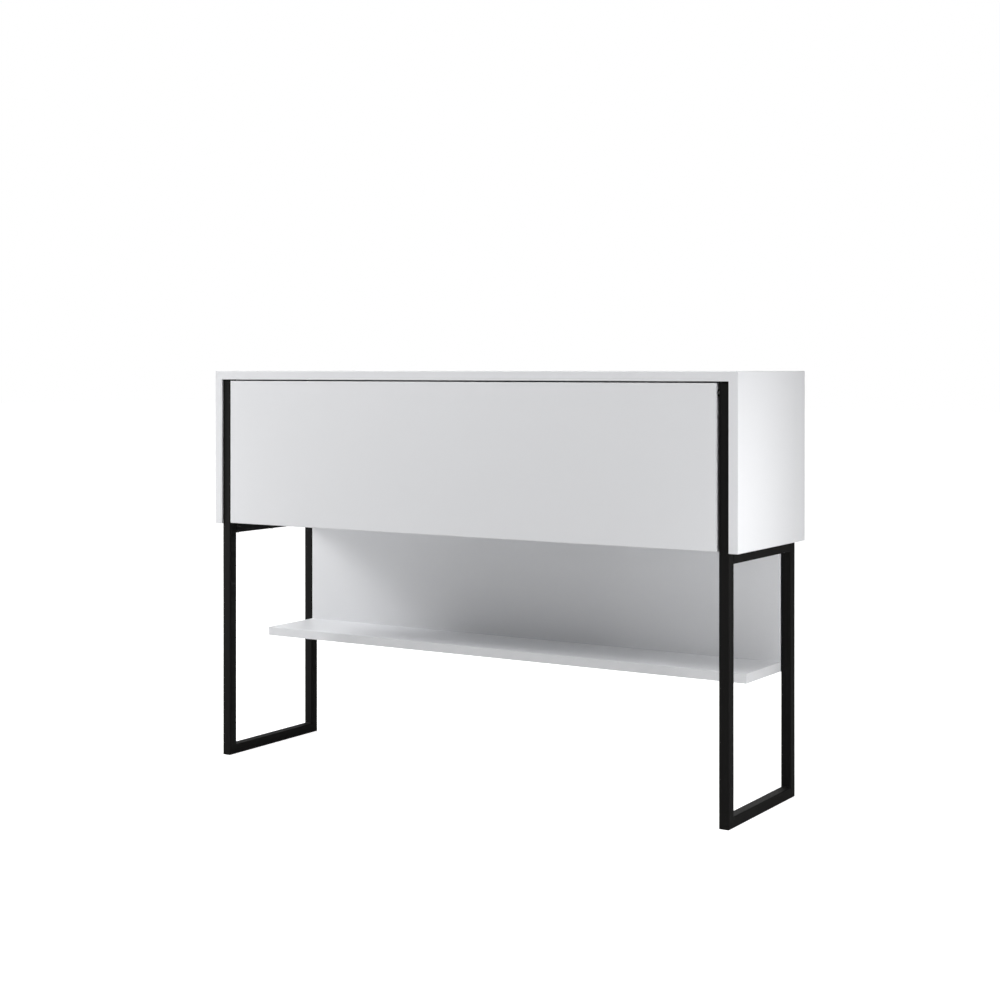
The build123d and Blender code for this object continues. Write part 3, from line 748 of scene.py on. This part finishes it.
@dataclass
class FlapStays:
    """The two spring stays, with their moulded covers' details and adjusting screws."""

    paint: Paintbox
    ring_radius: float = 9.0 * MM
    ring_bore: float = 5.2 * MM
    rib_height: float = 0.55 * MM
    rib_half: float = 1.1 * MM
    rib_pitch: float = 14 * MM
    rib_run_out: float = 2 * MM
    rib_from_shaft: float = 22 * MM
    rib_from_rear: float = 12 * MM
    soft_edge: float = 0.15 * MM
    screw_radius: float = 3.6 * MM
    screw_height: float = 1.6 * MM
    screw_edge: float = 0.4 * MM
    socket_flat: float = 1.9 * MM
    sides: int = 48

    def build(self) -> None:
        """Dress every link of both stays and add their small details."""
        for side in Side:
            word = side.word
            self.paint.dress([f"stay_housing_{word}", f"stay_cover_{word}"], Slot.GREY_PLASTIC)
            moving = [f"stay_arm_{word}", f"stay_arm_pin_{word}", f"stay_link_{word}"]
            self.paint.dress(moving, Slot.ZINC_STEEL)
            self._collar(side)
            self._ribs(side)
            self._adjuster(side)
        self.paint.dress(["stay_springs"], Slot.SPRING_STEEL)
        self.paint.dress(["stay_screws"], Slot.ZINC_STEEL)

    def _shaft(self, side: Side) -> Vector:
        """The point on the cover's face where the arm's shaft comes out."""
        joint = next(j for j in frame["joints"] if j["name"] == f"stay_arm_turn_{side.word}")
        low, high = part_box(f"stay_cover_{side.word}")
        face = low.x if side is Side.RIGHT else high.x
        return Vector((face, joint["pos_m"][1], joint["pos_m"][2]))

    def _collar(self, side: Side) -> None:
        """A raised ring round the shaft, moulded on the cover."""
        outer, inner, height, soft = self.ring_radius, self.ring_bore, self.rib_height, self.soft_edge
        inside = [(inner, -soft), (inner, height - soft), (inner + soft, height)]
        outside = [(outer - soft, height), (outer, height - soft), (outer, -soft)]
        place = facing_matrix(self._shaft(side), Vector((-side.value, 0, 0)))
        builder = Builder(f"stay_collar_{side.word}")
        rings = [self._round_ring(place, radius, up) for radius, up in [*inside, *outside, inside[0]]]
        builder.loft(rings, closed=False)
        bmesh.ops.remove_doubles(builder.mesh, verts=builder.mesh.verts, dist=1e-6)
        builder.finish(self.paint.shared[Slot.GREY_PLASTIC])

    def _ribs(self, side: Side) -> None:
        """Three shallow stiffening ribs along the cover."""
        low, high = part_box(f"stay_cover_{side.word}")
        face = low.x if side is Side.RIGHT else high.x
        out = -side.value * self.rib_height
        start = self._shaft(side).y + self.rib_from_shaft
        end = high.y - self.rib_from_rear
        half, run = self.rib_half, self.rib_run_out
        left_half = [(-half, -0.2), (-half, 0.6), (-0.5 * half, 1.0)]
        section = [*left_half, *((-across, up) for across, up in reversed(left_half))]
        stations = [(start, 0.35), (start + run, 1.0), (end - run, 1.0), (end, 0.35)]
        builder = Builder(f"stay_ribs_{side.word}")
        for k in (-1, 0, 1):
            z = (low.z + high.z) / 2 + k * self.rib_pitch
            rings = []
            for y, share in stations:
                rings.append([Vector((face + out * up * share, y, z + across)) for across, up in section])
            builder.loft(rings)
        builder.finish(self.paint.shared[Slot.GREY_PLASTIC])

    def _adjuster(self, side: Side) -> None:
        """The hexagon-socket screw in the housing's front end that sets the spring."""
        low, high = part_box(f"stay_housing_{side.word}")
        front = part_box(f"stay_cover_{side.word}")[0].y
        middle = (low + high) / 2
        place = facing_matrix(Vector((middle.x, front, middle.z)), Vector((0, -1, 0)))
        radius, height, edge = self.screw_radius, self.screw_height, self.screw_edge
        rings = [self._round_ring(place, radius, -0.5 * MM)]
        rings.append(self._round_ring(place, radius, height - edge))
        rings.append(self._round_ring(place, radius - edge, height))
        rings += [self._hex_ring(place, self.socket_flat, up) for up in (height, 0.1 * MM)]
        builder = Builder(f"stay_adjuster_{side.word}")
        builder.loft(rings)
        builder.finish(self.paint.shared[Slot.ZINC_STEEL])

    def _ring(self, place: Matrix, reach: Callable[[float], float], up: float) -> list[Vector]:
        """A closed line of points at a height.

        Args:
            place: Where the line's middle is.
            reach: The distance from the middle at an angle.
            up: The height.

        Returns:
            The points in order.
        """
        angles = [2 * math.pi * k / self.sides for k in range(self.sides)]
        return [place @ Vector((reach(a) * math.cos(a), reach(a) * math.sin(a), up)) for a in angles]

    def _round_ring(self, place: Matrix, radius: float, up: float) -> list[Vector]:
        """A circle of points at a height."""
        return self._ring(place, lambda angle: radius, up)

    def _hex_ring(self, place: Matrix, flat: float, up: float) -> list[Vector]:
        """A hexagon, given by half its width across flats, at a height."""
        sixth = math.pi / 3
        return self._ring(place, lambda angle: flat / math.cos(angle % sixth - sixth / 2), up)


@dataclass
class PushLatches:
    """The drill-in push latches behind the flap's lower edge."""

    paint: Paintbox

    def build(self) -> None:
        """Dress sleeves, plungers, springs and magnets."""
        self.paint.dress(["latch_bodies", "latch_plunger_left", "latch_plunger_right"], Slot.GREY_PLASTIC)
        self.paint.dress(["latch_springs"], Slot.SPRING_STEEL)
        self.paint.dress(["latch_magnet_left", "latch_magnet_right"], Slot.MAGNET)


@dataclass(frozen=True)
class Softbox:
    """A rectangular soft light that is out of sight."""

    name: str
    place: tuple[float, float, float]
    target: tuple[float, float, float]
    size: tuple[float, float]
    power: float

    def hang(self) -> None:
        """Put the light in the scene, pointed at its target."""
        data = bpy.data.lights.new(self.name, "AREA")
        data.shape = "RECTANGLE"
        data.energy = self.power
        data.size, data.size_y = self.size
        lamp = bpy.data.objects.new(self.name, data)
        lamp.location = self.place
        lamp.rotation_euler = (Vector(self.target) - lamp.location).to_track_quat("-Z", "Y").to_euler()
        lamp.visible_camera = False
        bpy.context.scene.collection.objects.link(lamp)


SOFTBOXES = (
    Softbox("front_top", (0.0, -1.3, 2.4), (0.0, -0.15, 0.5), (2.4, 0.6), 23.0),
    Softbox("left_high", (-6.0, -1.6, 4.6), (-0.3, 0.0, 0.4), (3.0, 3.0), 375.0),
    Softbox("left_far", (-3.6, -1.3, 1.9), (-0.3, 0.0, 0.4), (1.2, 1.2), 45.0),
    Softbox("left_end", (-1.1, -0.35, 0.42), (0.1, 0.08, 0.36), (0.2, 0.5), 1.4),
    Softbox("right_end", (0.95, -0.15, 0.62), (0.6, -0.12, 0.62), (0.06, 0.5), 0.7),
    Softbox("right_side", (1.6, 0.0, 0.9), (0.6, 0.0, 0.6), (0.3, 0.8), 2.9),
    Softbox("right_low", (1.2, -0.4, 0.38), (0.3, 0.1, 0.36), (0.3, 0.4), 2.3),
    Softbox("back_fill", (-1.2, 2.6, 1.9), (0.0, 0.1, 0.5), (2.4, 1.2), 30.0),
)


@dataclass(frozen=True)
class Scrim:
    """A black net, out of sight, that takes some of the light off a face of the case."""

    name: str
    corners: tuple[Vector, Vector, Vector, Vector]
    weave: float

    def hang(self) -> None:
        """Stretch the net between its corners."""
        shader = Shader(self.name)
        shader.set(Base_Color=(0.0, 0.0, 0.0), Roughness=1.0, Specular_IOR_Level=0.0, Alpha=self.weave)
        data = bpy.data.meshes.new(self.name)
        data.from_pydata(self.corners, [], [(0, 1, 2, 3)])
        data.materials.append(shader.material)
        net = bpy.data.objects.new(self.name, data)
        bpy.context.scene.collection.objects.link(net)
        net.visible_camera = False


@dataclass
class Studio:
    """The floor, the soft lights and the camera."""

    eye: tuple[float, float, float] = (1.8796, -2.9707, 0.8033)
    turn: float = 32.135
    lens: float = 63.78
    drop: float = -0.13075
    floor_half: float = 30.0
    surround: float = 0.03
    overhead: float = 1.33
    net_gap: float = 0.03
    net_above: float = 0.36
    net_left: float = 0.50

    def build(self) -> None:
        """Make everything round the table."""
        self._world()
        self._floor()
        self._sun()
        for softbox in SOFTBOXES:
            softbox.hang()
        self._scrims()
        self._camera()
        bpy.context.scene.view_settings.view_transform = "Standard"

    def _world(self) -> None:
        """A white surround, dimmer as a light than it looks."""
        world = bpy.data.worlds.new("surround")
        world.use_nodes = True
        tree = world.node_tree
        background = tree.nodes["Background"]
        background.inputs["Color"].default_value = (1.0, 1.0, 1.0, 1.0)
        path = tree.nodes.new("ShaderNodeLightPath")
        level = tree.nodes.new("ShaderNodeMath")
        level.operation = "MULTIPLY_ADD"
        level.inputs[1].default_value = 1.0 - self.surround
        level.inputs[2].default_value = self.surround
        tree.links.new(path.outputs["Is Camera Ray"], level.inputs[0])
        tree.links.new(level.outputs[0], background.inputs["Strength"])
        bpy.context.scene.world = world

    def _floor(self) -> None:
        """A wide pale floor."""
        data = bpy.data.meshes.new("floor")
        half = self.floor_half
        corners = [(-half, -half, 0), (half, -half, 0), (half, half, 0), (-half, half, 0)]
        data.from_pydata(corners, [], [(0, 1, 2, 3)])
        data.materials.append(FloorFinish().material("pale_floor"))
        floor = bpy.data.objects.new("floor", data)
        bpy.context.scene.collection.objects.link(floor)

    def _sun(self) -> None:
        """Even light from above."""
        data = bpy.data.lights.new("overhead", "SUN")
        data.energy = self.overhead
        data.angle = math.radians(60)
        lamp = bpy.data.objects.new("overhead", data)
        bpy.context.scene.collection.objects.link(lamp)

    def _scrims(self) -> None:
        """Nets above the case and at its left end, which the strongest lights reach."""
        side_low, side_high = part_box("side_panel_left")
        far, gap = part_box("side_panel_right")[1].x, self.net_gap
        front, rear = side_low.y + 0.1 * gap, side_high.y + gap
        over, left = side_high.z + gap, side_low.x - gap
        foot = side_low.z + 0.6 * gap
        above = ((left, front), (far, front), (far, rear), (left, rear))
        beside = ((front, foot), (rear, foot), (rear, over), (front, over))
        Scrim("net_above", tuple(Vector((x, y, over)) for x, y in above), self.net_above).hang()
        Scrim("net_left", tuple(Vector((left, y, z)) for y, z in beside), self.net_left).hang()

    def _camera(self) -> None:
        """A level camera, turned to the table and dropped by its shift."""
        data = bpy.data.cameras.new("camera")
        data.lens = self.lens
        data.sensor_width = 36.0
        data.shift_y = self.drop
        camera = bpy.data.objects.new("camera", data)
        camera.location = self.eye
        camera.rotation_euler = (math.radians(90), 0, math.radians(self.turn))
        bpy.context.scene.collection.objects.link(camera)
        bpy.context.scene.camera = camera


def main() -> None:
    """Build and dress the whole table, then the studio."""
    logging.basicConfig(level=logging.INFO, format="%(name)s: %(message)s")
    paint = Paintbox()
    Carcass(paint).build()
    Flap(paint).build()
    LowShelf(paint).build()
    SideFrames(paint).build()
    FlapStays(paint).build()
    PushLatches(paint).build()
    paint.check()
    Studio().build()


if __name__ == "__main__":
    main()
